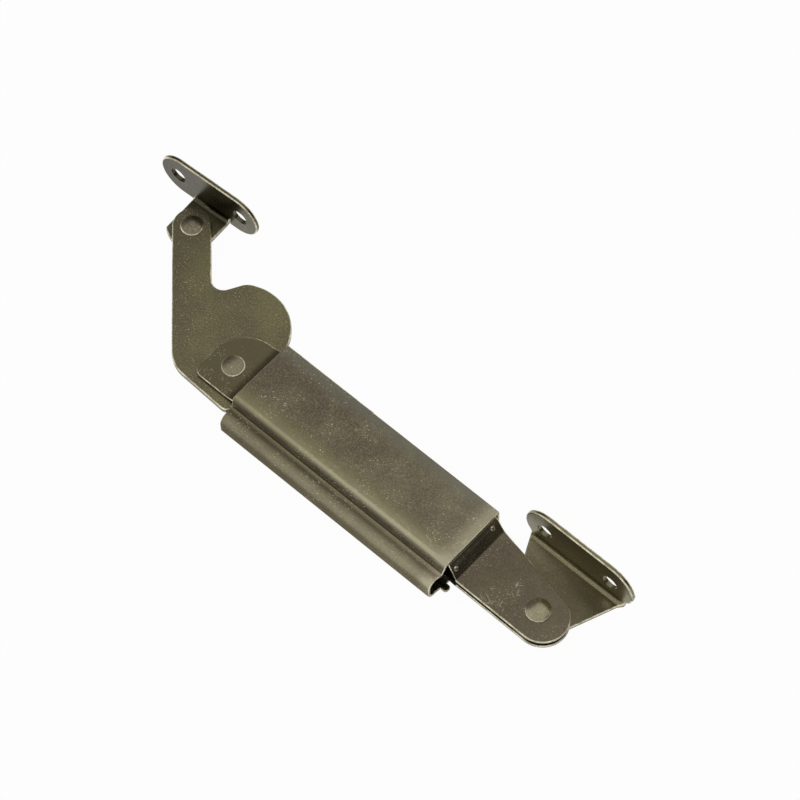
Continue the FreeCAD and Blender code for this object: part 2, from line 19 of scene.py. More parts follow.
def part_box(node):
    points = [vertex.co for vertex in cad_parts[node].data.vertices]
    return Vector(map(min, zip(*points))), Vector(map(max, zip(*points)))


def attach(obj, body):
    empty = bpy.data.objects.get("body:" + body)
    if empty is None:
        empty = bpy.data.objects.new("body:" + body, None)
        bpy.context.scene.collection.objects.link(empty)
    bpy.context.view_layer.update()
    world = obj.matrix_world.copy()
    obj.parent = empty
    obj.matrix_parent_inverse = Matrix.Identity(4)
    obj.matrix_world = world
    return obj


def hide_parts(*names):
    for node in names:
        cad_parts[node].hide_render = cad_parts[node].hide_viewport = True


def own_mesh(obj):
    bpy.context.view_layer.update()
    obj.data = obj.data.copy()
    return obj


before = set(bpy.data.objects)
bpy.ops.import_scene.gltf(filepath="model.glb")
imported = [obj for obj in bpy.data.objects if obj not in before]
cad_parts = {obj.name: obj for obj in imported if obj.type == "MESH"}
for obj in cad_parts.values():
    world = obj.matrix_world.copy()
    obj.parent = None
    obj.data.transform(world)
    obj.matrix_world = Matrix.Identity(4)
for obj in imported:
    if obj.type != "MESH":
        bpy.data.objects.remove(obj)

LOG = logging.getLogger("lid_stay")
MM = 0.001
# Points of a mesh that lie nearer than this are one point, in metres.
MERGE_DISTANCE = 0.000002
# Neighbouring triangles bent less than this, in degrees, are one flat face.
FLAT_DEG = 0.4
# Numbers of a Mix node's sockets: its factor, then both inputs and the output for numbers and colours.
MIX_FACTOR = 0
NUMBER_FIRST, NUMBER_SECOND, NUMBER_MIXED = 2, 3, 0
COLOUR_FIRST, COLOUR_SECOND, COLOUR_MIXED = 6, 7, 2
# The drawing's origin is the cam pivot; the row frame's origin is the body flange's screw pattern.
DRAWING_TO_ROW = Vector((-125.75, -20.0, -8.2))
# Distance from a screw hole's middle to just outside its rims, in metres.
HOLE_REACH = 0.0032
# Both ends of the cover along the housing, in drawing mm.
HOUSING_START = 9.0
HOUSING_END = 97.6


def row_point(x: float, y: float, z: float) -> Vector:
    """Turns a point of the drawing, in mm, into the row frame, in metres.

    Args:
        x: Distance from the cam pivot along the housing.
        y: Distance from the cam pivot towards the flanges.
        z: Height over the middle of the cam arm.

    Returns:
        The point in metres.
    """
    return (Vector((x, y, z)) + DRAWING_TO_ROW) * MM


class Body(Enum):
    """Rigid bodies of the stay."""

    HOUSING = "housing"
    ARM = "arm"
    LID_SIDE = "lid_side"
    FOLLOWER = "follower"
    BODY_SIDE = "body_side"


class Slot(Enum):
    """Material slots of the record."""

    BRASS = "aged_brass"
    COVER = "aged_brass_cover"
    RIVET = "aged_brass_rivet"
    MOULDED = "moulded_black"
    WIRE = "spring_wire"


class Axis(Enum):
    """Axes of the row frame, by their place in a vector."""

    X = 0
    Y = 1


def make_object(
    name: str,
    mesh: bmesh.types.BMesh,
    materials: tuple[bpy.types.Material, ...],
    crease_deg: float | None = None,
) -> bpy.types.Object:
    """Turns a finished bmesh into an object at the origin and frees the bmesh.

    Args:
        name: Name of the object and its mesh.
        mesh: The shape, in the row frame.
        materials: Finishes, in the order of the faces' material numbers.
        crease_deg: Edges bent more than this are creases in smooth shading; None keeps flat shading.

    Returns:
        The object, linked to the scene.
    """
    data = bpy.data.meshes.new(name)
    mesh.to_mesh(data)
    mesh.free()
    made = bpy.data.objects.new(name, data)
    bpy.context.collection.objects.link(made)
    for material in materials:
        data.materials.append(material)
    if crease_deg is not None:
        data.shade_smooth()
        data.set_sharp_from_angle(angle=math.radians(crease_deg))
    return made


class NodeBoard:
    """Small helper that adds shader nodes and links them."""

    def __init__(self, owner: bpy.types.Material | bpy.types.World) -> None:
        """Empties the owner's tree and keeps it.

        Args:
            owner: The material or world whose tree is built.
        """
        owner.use_nodes = True
        self.tree = owner.node_tree
        self.tree.nodes.clear()

    def add(self, kind: str, **settings: object) -> bpy.types.Node:
        """Adds a node.

        Args:
            kind: Class name of the node.
            **settings: Values for its properties.

        Returns:
            The node.
        """
        node = self.tree.nodes.new(kind)
        for name, value in settings.items():
            setattr(node, name, value)
        return node

    def link(self, source: bpy.types.NodeSocket, target: bpy.types.NodeSocket) -> None:
        """Joins an output socket to an input socket."""
        self.tree.links.new(source, target)

    def math(self, operation: str, first: object, second: object) -> bpy.types.NodeSocket:
        """Adds a clamped sum, product or other operation.

        Args:
            operation: Name of the Math node's operation.
            first: A socket or a number.
            second: A socket or a number.

        Returns:
            The result's socket.
        """
        node = self.add("ShaderNodeMath", operation=operation, use_clamp=True)
        for index, value in enumerate((first, second)):
            if isinstance(value, bpy.types.NodeSocket):
                self.link(value, node.inputs[index])
            else:
                node.inputs[index].default_value = value
        return node.outputs[0]

    def span(self, value: bpy.types.NodeSocket, low: float, high: float) -> bpy.types.NodeSocket:
        """Maps a stretch of a value to 0..1, eased at both ends.

        Args:
            value: Socket to read.
            low: Value that gives 0.
            high: Value that gives 1.

        Returns:
            The mapped value's socket.
        """
        node = self.add("ShaderNodeMapRange", interpolation_type="SMOOTHSTEP")
        node.inputs["From Min"].default_value = low
        node.inputs["From Max"].default_value = high
        self.link(value, node.inputs["Value"])
        return node.outputs["Result"]

    def slope(
        self, value: bpy.types.NodeSocket, low: float, high: float, start: float = 0.0, end: float = 1.0
    ) -> bpy.types.NodeSocket:
        """Lets a result run evenly from one level to another.

        Args:
            value: Socket to read.
            low: Result at the start.
            high: Result at the end.
            start: Value at which the result is low.
            end: Value at which the result is high.

        Returns:
            The result's socket.
        """
        node = self.add("ShaderNodeMapRange")
        node.inputs["From Min"].default_value = start
        node.inputs["From Max"].default_value = end
        node.inputs["To Min"].default_value = low
        node.inputs["To Max"].default_value = high
        self.link(value, node.inputs["Value"])
        return node.outputs["Result"]

    def noise(
        self, place: bpy.types.NodeSocket, scale: float, detail: float = 2.0, rough: float = 0.5
    ) -> bpy.types.NodeSocket:
        """Adds a noise pattern.

        Args:
            place: Coordinates.
            scale: Cells per metre.
            detail: Octaves.
            rough: Strength of the finer octaves.

        Returns:
            The pattern's socket.
        """
        node = self.add("ShaderNodeTexNoise")
        node.inputs["Scale"].default_value = scale
        node.inputs["Detail"].default_value = detail
        node.inputs["Roughness"].default_value = rough
        self.link(place, node.inputs["Vector"])
        return node.outputs["Fac"]

    def mapped(
        self, place: bpy.types.NodeSocket, turn: float, stretch: tuple[float, float, float]
    ) -> bpy.types.NodeSocket:
        """Turns coordinates about Z and stretches them.

        Args:
            place: Coordinates.
            turn: Angle in degrees.
            stretch: Scale along each axis.

        Returns:
            The new coordinates' socket.
        """
        turned = self.add("ShaderNodeMapping")
        turned.inputs["Rotation"].default_value = (0.0, 0.0, math.radians(turn))
        self.link(place, turned.inputs["Vector"])
        scaled = self.add("ShaderNodeMapping")
        scaled.inputs["Scale"].default_value = stretch
        self.link(turned.outputs["Vector"], scaled.inputs["Vector"])
        return scaled.outputs["Vector"]

    def seen_directly(self) -> bpy.types.NodeSocket:
        """Tells the camera's view, and what metal and glass mirror, from the light that falls.

        Returns:
            Socket that is 1 for camera, glossy and transmission rays.
        """
        path = self.add("ShaderNodeLightPath")
        mirrored = self.math("MAXIMUM", path.outputs["Is Glossy Ray"], path.outputs["Is Transmission Ray"])
        return self.math("MAXIMUM", path.outputs["Is Camera Ray"], mirrored)

    def mix(self, factor: bpy.types.NodeSocket, first: object, second: object) -> bpy.types.NodeSocket:
        """Mixes two colours.

        Args:
            factor: Socket that goes from the first to the second.
            first: A colour or a colour socket.
            second: A colour or a colour socket.

        Returns:
            The mixed colour's socket.
        """
        node = self.add("ShaderNodeMix", data_type="RGBA")
        self.link(factor, node.inputs[MIX_FACTOR])
        for index, value in ((COLOUR_FIRST, first), (COLOUR_SECOND, second)):
            if isinstance(value, bpy.types.NodeSocket):
                self.link(value, node.inputs[index])
            else:
                node.inputs[index].default_value = (*value, 1.0)
        return node.outputs[COLOUR_MIXED]

    def show(self, shader: bpy.types.Node, height: bpy.types.NodeSocket, depth: float) -> None:
        """Gives a shader its fine relief and makes it the material's surface.

        Args:
            shader: The Principled shader.
            height: Pattern of the relief.
            depth: Depth of the relief, in metres.
        """
        bump = self.add("ShaderNodeBump")
        bump.inputs["Distance"].default_value = depth
        bump.inputs["Strength"].default_value = 1.0
        self.link(height, bump.inputs["Height"])
        self.link(bump.outputs["Normal"], shader.inputs["Normal"])
        output = self.add("ShaderNodeOutputMaterial")
        self.link(shader.outputs["BSDF"], output.inputs["Surface"])


class Tone(Enum):
    """Colour that a strip goes to: a greener or greyer tone, painted shade or painted highlight."""

    OLIVE = "olive"
    GREY = "grey"
    # Painted shade: darker strips in bends and valleys and beside flanges.
    PAINTED_SHADE = "dark"
    # Painted highlight: lighter strips along bends, ridges and the housing's lower end.
    PAINTED_HIGHLIGHT = "worn"


@dataclass(frozen=True)
class SurfaceBand:
    """A strip of a surface that is greyer, more olive, or painted with shade or highlight.

    Attributes:
        axis: Axis across the strip.
        middle: Place of its middle in the row frame, in metres.
        reach: Distance over which it fades, in metres.
        strength: How far it goes to the tone's colour.
        tone: What it goes to: a tone, painted shade or painted highlight.
        lower_strength: Strength at the housing's lower end, where it differs.
    """

    axis: Axis
    middle: float
    reach: float
    strength: float
    tone: Tone = Tone.PAINTED_HIGHLIGHT
    lower_strength: float | None = None


# Levels of a noise pattern between which pits, the patches that have them, scratches and the places
# that have those fade in.
PIT_LEVELS = (0.67, 0.72)
PITTED_LEVELS = (0.42, 0.62)
SCRATCH_LEVELS = (0.70, 0.76)
SCRATCHED_LEVELS = (0.54, 0.62)
# Cells per metre of the pits, of the patches that have them, and across the scratches.
PIT_SCALE = 2100.0
PITTED_SCALE = 110.0
SCRATCH_SCALE = 2800.0
# Cells per metre of the bands' unevenness, of the smears in the gloss, and of the fine relief.
BAND_SCALE = 240.0
SMEAR_SCALE = 420.0
RELIEF_SCALE = 1300.0
# Each set of scratches: turn in degrees, cells per metre along it, cells per metre of its places.
SCRATCH_SETS = ((24.0, 300.0, 90.0), (-38.0, 380.0, 120.0), (80.0, 330.0, 105.0))
# Levels of a noise pattern between which one blotch colour turns to the other.
BLOTCH_LEVELS = (0.35, 0.65)
# Middle level of the fine grain, and how far from it the grain is at its strongest.
GRAIN_MIDDLE = 0.5
GRAIN_REACH = 0.2
# Share of the brown and the olive that dark and pale grain have.
DARK_GRAIN = 0.55
PALE_GRAIN = 1.6
# Share of its strength that a band has where it is faintest and where it is strongest.
BAND_UNEVENNESS = (0.45, 1.15)
# How far the plating's roughness goes below and above its middle, and how far that of plain finishes does.
SMOOTHER = 0.05
ROUGHER = 0.07
PLAIN_UNEVENNESS = 0.08


@dataclass(frozen=True)
class AgedBrass:
    """Dark brass plating, softly blotched, grained, and rubbed through where it is touched.

    Attributes:
        name: Name of the material.
        brown: Colour of the brown blotches.
        olive: Colour of the greener blotches.
        worn: Colour of the strips of painted highlight.
        glint: Colour of pits and scratches down to the bare metal.
        greyish: Colour of the strips that have turned grey.
        mossy: Colour of the strips that have turned olive.
        grazing: Tint of what it mirrors at a flat angle.
        roughness: Middle roughness of the plating.
        graininess: Strength of the fine dark and light grain.
        specks: Strength of the small bright pits.
        scratches: Strength of the short fine scratches.
        bands: Strips of painted highlight and painted shade, and strips that are greyer or more olive.
        relief_depth: Depth of the surface's fine relief, in metres.
        grain_scale: Cells of the grain per metre.
        blotch_scale: Cells of the blotches per metre.
    """

    name: str
    brown: tuple[float, float, float] = (0.150, 0.132, 0.078)
    olive: tuple[float, float, float] = (0.165, 0.150, 0.080)
    worn: tuple[float, float, float] = (0.42, 0.39, 0.27)
    glint: tuple[float, float, float] = (0.85, 0.80, 0.62)
    greyish: tuple[float, float, float] = (0.168, 0.168, 0.132)
    mossy: tuple[float, float, float] = (0.215, 0.200, 0.098)
    grazing: tuple[float, float, float] = (1.0, 1.0, 1.0)
    roughness: float = 0.28
    graininess: float = 0.95
    specks: float = 0.3
    scratches: float = 0.15
    bands: tuple[SurfaceBand, ...] = ()
    relief_depth: float = 0.000006
    grain_scale: float = 1800.0
    blotch_scale: float = 85.0

    def worn_share(self, board: NodeBoard, place: bpy.types.NodeSocket) -> bpy.types.NodeSocket:
        """Works out how far the plating is rubbed at each place.

        Args:
            board: The material's tree.
            place: Object coordinates.

        Returns:
            Socket that goes from 0, plating, to 1, rubbed.
        """
        pits = board.span(board.noise(place, PIT_SCALE, detail=1.0, rough=0.4), *PIT_LEVELS)
        patches = board.span(board.noise(place, PITTED_SCALE, detail=2.0), *PITTED_LEVELS)
        share = board.math("MULTIPLY", board.math("MULTIPLY", pits, patches), self.specks)
        for turn, length, spread in SCRATCH_SETS:
            drawn_out = board.mapped(place, turn, (length, SCRATCH_SCALE, SCRATCH_SCALE))
            lines = board.span(board.noise(drawn_out, 1.0, detail=1.0, rough=0.3), *SCRATCH_LEVELS)
            where = board.span(board.noise(place, spread, detail=1.0), *SCRATCHED_LEVELS)
            streak = board.math("MULTIPLY", lines, where)
            share = board.math("MAXIMUM", share, board.math("MULTIPLY", streak, self.scratches))
        return share

    def banded(self, board: NodeBoard, place: bpy.types.NodeSocket, tone: Tone) -> bpy.types.NodeSocket:
        """Adds up the bands of one tone.

        Args:
            board: The material's tree.
            place: Object coordinates.
            tone: Tone of the bands that count.

        Returns:
            Socket that goes from 0 to 1 where the bands are strongest.
        """
        separate = board.add("ShaderNodeSeparateXYZ")
        board.link(place, separate.inputs[0])
        uneven = board.slope(board.noise(place, BAND_SCALE, detail=5.0, rough=0.7), *BAND_UNEVENNESS)
        share = board.add("ShaderNodeValue").outputs[0]
        share.default_value = 0.0
        for band in self.bands:
            if band.tone is not tone:
                continue
            offset = board.add("ShaderNodeMath", operation="SUBTRACT")
            board.link(separate.outputs[band.axis.value], offset.inputs[0])
            offset.inputs[1].default_value = band.middle
            away = board.add("ShaderNodeMath", operation="ABSOLUTE")
            board.link(offset.outputs[0], away.inputs[0])
            near = board.span(away.outputs[0], band.reach, 0.0)
            lower = band.strength if band.lower_strength is None else band.lower_strength
            strength = board.slope(
                separate.outputs[Axis.X.value],
                band.strength,
                lower,
                start=row_point(HOUSING_START, 0.0, 0.0).x,
                end=row_point(HOUSING_END, 0.0, 0.0).x,
            )
            part = board.math("MULTIPLY", near, uneven)
            share = board.math("ADD", share, board.math("MULTIPLY", part, strength))
        return share

    def make(self) -> bpy.types.Material:
        """Builds the finish.

        Returns:
            The material.
        """
        material = bpy.data.materials.new(self.name)
        board = NodeBoard(material)
        place = board.add("ShaderNodeTexCoord").outputs["Object"]
        blotches = board.noise(place, self.blotch_scale, detail=3.0, rough=0.6)
        colour = board.mix(board.span(blotches, *BLOTCH_LEVELS), self.brown, self.olive)
        fine = board.noise(place, self.grain_scale, detail=3.0, rough=0.75)
        dark = tuple(channel * DARK_GRAIN for channel in self.brown)
        pale = tuple(channel * PALE_GRAIN for channel in self.olive)
        deepest = board.span(fine, GRAIN_MIDDLE, GRAIN_MIDDLE - GRAIN_REACH)
        highest = board.span(fine, GRAIN_MIDDLE, GRAIN_MIDDLE + GRAIN_REACH)
        low_grain = board.math("MULTIPLY", deepest, self.graininess)
        high_grain = board.math("MULTIPLY", highest, self.graininess)
        colour = board.mix(high_grain, board.mix(low_grain, colour, dark), pale)
        # Strips of painted shade and painted highlight, and greener or greyer strips.
        turned = {Tone.OLIVE: self.mossy, Tone.GREY: self.greyish, Tone.PAINTED_HIGHLIGHT: self.worn, Tone.PAINTED_SHADE: dark}
        for tone, shade in turned.items():
            if any(band.tone is tone for band in self.bands):
                colour = board.mix(self.banded(board, place, tone), colour, shade)
        shader = board.add("ShaderNodeBsdfPrincipled")
        shader.inputs["Metallic"].default_value = 1.0
        shader.inputs["Specular Tint"].default_value = (*self.grazing, 1.0)
        colour = board.mix(self.worn_share(board, place), colour, self.glint)
        board.link(colour, shader.inputs["Base Color"])
        smears = board.noise(place, SMEAR_SCALE, detail=3.0, rough=0.6)
        gloss = board.slope(smears, self.roughness - SMOOTHER, self.roughness + ROUGHER)
        board.link(gloss, shader.inputs["Roughness"])
        board.show(shader, board.noise(place, RELIEF_SCALE, detail=3.0, rough=0.7), self.relief_depth)
        return material


@dataclass(frozen=True)
class PlainFinish:
    """Moulded plastic or drawn wire with a slight unevenness.

    Attributes:
        name: Name of the material.
        colour: Main colour.
        shade: Darker colour of its blotches.
        metallic: 1 for metal, 0 for plastic.
        roughness: Middle roughness.
        blotch_scale: Cells of the blotches per metre.
        relief_scale: Cells of the surface's fine relief per metre.
        relief_depth: Depth of that relief, in metres.
    """

    name: str
    colour: tuple[float, float, float]
    shade: tuple[float, float, float]
    metallic: float
    roughness: float
    blotch_scale: float = 300.0
    relief_scale: float = 2500.0
    relief_depth: float = 0.00002

    def make(self) -> bpy.types.Material:
        """Builds the finish.

        Returns:
            The material.
        """
        material = bpy.data.materials.new(self.name)
        board = NodeBoard(material)
        place = board.add("ShaderNodeTexCoord").outputs["Object"]
        blotches = board.noise(place, self.blotch_scale, detail=3.0)
        shader = board.add("ShaderNodeBsdfPrincipled")
        shader.inputs["Metallic"].default_value = self.metallic
        colour = board.mix(board.span(blotches, *BLOTCH_LEVELS), self.shade, self.colour)
        board.link(colour, shader.inputs["Base Color"])
        gloss = board.slope(blotches, self.roughness - PLAIN_UNEVENNESS, self.roughness + PLAIN_UNEVENNESS)
        board.link(gloss, shader.inputs["Roughness"])
        board.show(shader, board.noise(place, self.relief_scale, detail=2.0), self.relief_depth)
        return material


@dataclass
class Finishes:
    """Every finish of the stay, made once.

    Attributes:
        sheet: Arm.
        lid_bracket: Bracket at the arm's end.
        body_bracket: Bracket at the housing's lower end.
        plate: The housing's front and rear plate.
        cover: Folded cover.
        rivet: Head of the cam's rivet.
        lid_rivet: Head of the lid bracket's rivet.
        bright_rivet: The domed rivet head.
        edge: Cut and rubbed edges of the sheet.
        moulded: Follower and spring seat.
        wire: Springs.
    """

    sheet: bpy.types.Material
    lid_bracket: bpy.types.Material
    body_bracket: bpy.types.Material
    plate: bpy.types.Material
    cover: bpy.types.Material
    rivet: bpy.types.Material
    lid_rivet: bpy.types.Material
    bright_rivet: bpy.types.Material
    edge: bpy.types.Material
    moulded: bpy.types.Material
    wire: bpy.types.Material

    @staticmethod
    def cover_bands() -> tuple[SurfaceBand, ...]:
        """Lists the cover's strips: along its fold, valley, hood and open side, and across its lower end.

        Returns:
            The strips.
        """
        fold = row_point(0.0, -8.8, 0.0).y
        valley = row_point(0.0, -10.3, 0.0).y
        ridge = row_point(0.0, -8.75, 0.0).y
        hood_fold = row_point(0.0, -11.9, 0.0).y
        shoulder = row_point(0.0, -12.5, 0.0).y
        hood = row_point(0.0, -15.6, 0.0).y
        hood_edge = row_point(0.0, -16.8, 0.0).y
        open_side = row_point(0.0, 15.5, 0.0).y
        end = row_point(HOUSING_END, 0.0, 0.0).x
        return (
            # Lighter and greener along the fold: partly tone, partly painted highlight.
            SurfaceBand(Axis.Y, fold, reach=0.008, strength=0.9, tone=Tone.OLIVE),
            # Greyer and lighter towards the open side.
            SurfaceBand(Axis.Y, open_side, reach=0.007, strength=0.9, tone=Tone.GREY),
            # Painted shade in the valley, along the hood's edge and over the shoulder.
            SurfaceBand(Axis.Y, valley, reach=0.00115, strength=1.15, tone=Tone.PAINTED_SHADE),
            SurfaceBand(Axis.Y, hood_edge, reach=0.0007, strength=0.6, tone=Tone.PAINTED_SHADE),
            SurfaceBand(Axis.Y, shoulder, reach=0.0017, strength=1.1, tone=Tone.PAINTED_SHADE, lower_strength=0.7),
            # Painted highlight along the fold, its ridge, the hood's fold and the hood.
            SurfaceBand(Axis.Y, fold, reach=0.0045, strength=0.16, lower_strength=0.5),
            SurfaceBand(Axis.Y, ridge, reach=0.0009, strength=0.45, lower_strength=1.2),
            SurfaceBand(Axis.Y, hood_fold, reach=0.0005, strength=0.12, lower_strength=0.3),
            SurfaceBand(Axis.Y, hood, reach=0.0028, strength=0.3, lower_strength=0.5),
            # Painted highlight on the lower end's cut faces, and a faint one growing towards that end.
            SurfaceBand(Axis.X, end, reach=0.007, strength=0.75),
            SurfaceBand(Axis.X, end, reach=0.06, strength=0.11),
        )

    @classmethod
    def build(cls) -> "Finishes":
        """Makes all finishes.

        Returns:
            The set.
        """
        lid_bend = row_point(0.0, 38.3, 0.0).y
        body_bend = row_point(0.0, 15.2, 0.0).y
        body_leg = row_point(0.0, 7.0, 0.0).y
        arm_tip = row_point(-55.0, 0.0, 0.0).x
        cam = row_point(-4.0, 0.0, 0.0).x
        nose_tip = row_point(138.0, 0.0, 0.0).x
        return cls(
            sheet=AgedBrass(
                "aged brass sheet",
                brown=(0.136, 0.120, 0.074),
                olive=(0.174, 0.161, 0.086),
                graininess=0.8,
                # Painted shade, darker towards the arm's tip.
                bands=(SurfaceBand(Axis.X, arm_tip, reach=0.035, strength=0.6, tone=Tone.PAINTED_SHADE),),
                grain_scale=2100.0,
                blotch_scale=60.0,
            ).make(),
            lid_bracket=AgedBrass(
                "aged brass lid bracket",
                brown=(0.098, 0.087, 0.055),
                olive=(0.112, 0.101, 0.059),
                graininess=0.7,
                # Painted shade in the bracket's bend.
                bands=(SurfaceBand(Axis.Y, lid_bend, reach=0.002, strength=1.0, tone=Tone.PAINTED_SHADE),),
            ).make(),
            body_bracket=AgedBrass(
                "aged brass body bracket",
                brown=(0.180, 0.160, 0.097),
                olive=(0.200, 0.182, 0.101),
                graininess=0.8,
                bands=(
                    # Painted shade on the leg beside the flange.
                    SurfaceBand(Axis.Y, body_leg, reach=0.015, strength=1.0, tone=Tone.PAINTED_SHADE),
                    # Painted highlight along the bend.
                    SurfaceBand(Axis.Y, body_bend, reach=0.0045, strength=0.32),
                ),
            ).make(),
            plate=AgedBrass(
                "aged brass plate",
                brown=(0.112, 0.094, 0.066),
                olive=(0.132, 0.115, 0.074),
                mossy=(0.118, 0.106, 0.056),
                graininess=0.4,
                specks=0.35,
                scratches=0.3,
                bands=(
                    # Painted highlight, faint, towards the nose's tip.
                    SurfaceBand(Axis.X, nose_tip, reach=0.03, strength=0.1),
                    SurfaceBand(Axis.X, cam, reach=0.028, strength=1.0, tone=Tone.OLIVE),
                ),
            ).make(),
            cover=AgedBrass(
                "aged brass cover",
                brown=(0.122, 0.102, 0.072),
                olive=(0.168, 0.149, 0.096),
                grazing=(0.52, 0.50, 0.45),
                graininess=0.8,
                specks=0.42,
                scratches=0.22,
                bands=cls.cover_bands(),
                grain_scale=2200.0,
                blotch_scale=55.0,
            ).make(),
            rivet=AgedBrass(
                "aged brass rivet",
                brown=(0.215, 0.190, 0.128),
                olive=(0.245, 0.220, 0.148),
                roughness=0.26,
                graininess=0.5,
                scratches=0.0,
            ).make(),
            lid_rivet=AgedBrass(
                "aged brass lid rivet",
                brown=(0.150, 0.132, 0.090),
                olive=(0.215, 0.192, 0.132),
                roughness=0.26,
                graininess=0.6,
                scratches=0.0,
                blotch_scale=420.0,
            ).make(),
            bright_rivet=AgedBrass(
                "rubbed brass rivet",
                brown=(0.310, 0.280, 0.190),
                olive=(0.360, 0.330, 0.225),
                roughness=0.26,
                graininess=0.4,
                scratches=0.0,
            ).make(),
            edge=AgedBrass(
                "rubbed edge",
                brown=(0.38, 0.35, 0.24),
                olive=(0.74, 0.70, 0.53),
                roughness=0.3,
                graininess=0.6,
                scratches=0.0,
                blotch_scale=240.0,
            ).make(),
            moulded=PlainFinish(
                "moulded black",
                colour=(0.03, 0.03, 0.032),
                shade=(0.018, 0.018, 0.02),
                metallic=0.0,
                roughness=0.5,
            ).make(),
            wire=PlainFinish(
                "spring wire",
                colour=(0.42, 0.41, 0.39),
                shade=(0.3, 0.29, 0.27),
                metallic=1.0,
                roughness=0.35,
            ).make(),
        )


@dataclass(frozen=True)
class CloserBend:
    """Draws the bend between a bracket's leg and its flange closer, as the photograph shows it.

    All lengths are in drawing mm. The sheet keeps its thickness and the flange its place.

    Attributes:
        leg_top: Height of the leg's upper face.
        flange_inner: Distance of the flange's inner face from the cam pivot's axis, along Y.
        radius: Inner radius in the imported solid.
        closer: Inner radius that is drawn.
        start_sides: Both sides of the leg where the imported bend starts, along X.
        end_sides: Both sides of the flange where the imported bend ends, along X.
        closer_start_sides: Both sides of the leg where the drawn bend starts, along X.
        closer_end_sides: Both sides of the flange where the drawn bend ends, along X.
        slack: Distance by which a point may miss the bend and still belong to it.
    """

    leg_top: float
    flange_inner: float
    radius: float
    closer: float
    start_sides: tuple[float, float]
    end_sides: tuple[float, float]
    closer_start_sides: tuple[float, float]
    closer_end_sides: tuple[float, float]
    slack: float = 0.001

    @staticmethod
    def sides(
        y: float, start: float, end: float, at_start: tuple[float, float], at_end: tuple[float, float]
    ) -> tuple[float, float]:
        """Works out the sheet's two sides at one distance across the bend.

        Args:
            y: Distance across the bend.
            start: Distance at which the bend starts.
            end: Distance of the flange's inner face.
            at_start: Both sides at the start.
            at_end: Both sides at the end.

        Returns:
            The lower and the higher side along X.
        """
        share = min(max((y - start) / (end - start), 0.0), 1.0)
        low, high = (first + (last - first) * share for first, last in zip(at_start, at_end))
        return low, high

    def moved(self, place: Vector) -> Vector:
        """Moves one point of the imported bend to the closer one.

        Args:
            place: The point in drawing mm.

        Returns:
            The new point, or the same one outside the bend.
        """
        start = self.flange_inner - self.radius
        top = self.leg_top + self.radius
        if place.y < start - self.slack or place.z > top + self.slack:
            return place
        across = Vector((place.y - start, top - place.z))
        closer_start = self.flange_inner - self.closer
        closer_top = self.leg_top + self.closer
        across = across.normalized() * (across.length - self.radius + self.closer)
        y = closer_start + across.x
        low, high = self.sides(place.y, start, self.flange_inner, self.start_sides, self.end_sides)
        new_low, new_high = self.sides(
            y, closer_start, self.flange_inner, self.closer_start_sides, self.closer_end_sides
        )
        x = new_low + (place.x - low) / (high - low) * (new_high - new_low)
        return Vector((x, y, closer_top - across.y))


@dataclass
class SheetPiece:
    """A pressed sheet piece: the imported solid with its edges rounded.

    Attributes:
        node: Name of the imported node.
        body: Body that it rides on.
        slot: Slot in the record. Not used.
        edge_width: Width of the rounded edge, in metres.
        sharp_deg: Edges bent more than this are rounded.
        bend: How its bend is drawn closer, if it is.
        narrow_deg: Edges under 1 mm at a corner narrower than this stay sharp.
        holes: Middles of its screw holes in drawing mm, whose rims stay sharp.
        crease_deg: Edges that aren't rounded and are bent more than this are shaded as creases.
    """

    node: str
    body: Body
    slot: Slot
    edge_width: float
    sharp_deg: float = 40.0
    bend: CloserBend | None = None
    narrow_deg: float = 15.0
    holes: tuple[tuple[float, float, float], ...] = ()
    crease_deg: float = 48.0

    def merged_copy(self) -> bmesh.types.BMesh:
        """Copies the node's triangles and merges what lies flat.

        Returns:
            A mesh with whole flat faces.
        """
        mesh = bmesh.new()
        mesh.from_mesh(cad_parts[self.node].data)
        bmesh.ops.remove_doubles(mesh, verts=mesh.verts, dist=MERGE_DISTANCE)
        if self.bend:
            for vert in mesh.verts:
                vert.co = row_point(*self.bend.moved(vert.co / MM - DRAWING_TO_ROW))
        bmesh.ops.dissolve_limit(
            mesh,
            angle_limit=math.radians(FLAT_DEG),
            verts=mesh.verts,
            edges=mesh.edges,
            use_dissolve_boundaries=False,
        )
        return mesh

    def mark_edges(self, mesh: bmesh.types.BMesh) -> None:
        """Marks the edges that are rounded, without holes' rims and short edges in narrow corners.

        Args:
            mesh: The piece's mesh.
        """
        weight = mesh.edges.layers.float.new("bevel_weight_edge")
        holes = [row_point(*hole) for hole in self.holes]
        for edge in mesh.edges:
            middle = (edge.verts[0].co + edge.verts[1].co) / 2
            in_hole = any((middle - hole).length < HOLE_REACH for hole in holes)
            sharp = len(edge.link_faces) == 2 and edge.calc_face_angle(0.0) > math.radians(self.sharp_deg)
            edge[weight] = 1.0 if sharp and not in_hole else 0.0
        for vert in mesh.verts:
            for first, second in itertools.combinations(list(vert.link_edges), 2):
                one = first.other_vert(vert).co - vert.co
                two = second.other_vert(vert).co - vert.co
                if one.angle(two) < math.radians(self.narrow_deg):
                    for edge in (first, second):
                        if edge.calc_length() < MM:
                            edge[weight] = 0.0

    def build(self, surface: bpy.types.Material, edge: bpy.types.Material) -> bpy.types.Object:
        """Makes the piece, dresses it and puts it on its body.

        Args:
            surface: Finish of the faces.
            edge: Finish of the rounded edges.

        Returns:
            The finished piece.
        """
        mesh = self.merged_copy()
        self.mark_edges(mesh)
        piece = make_object(self.node + "_dressed", mesh, (surface, edge), self.crease_deg)
        bevel = piece.modifiers.new("rounded edges", "BEVEL")
        bevel.width = self.edge_width
        bevel.segments = 3
        bevel.profile = 0.5
        bevel.limit_method = "WEIGHT"
        bevel.material = 1
        bevel.use_clamp_overlap = False
        bevel.loop_slide = False
        bevel.miter_outer = "MITER_ARC"
        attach(piece, self.body.value)
        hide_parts(self.node)
        return piece


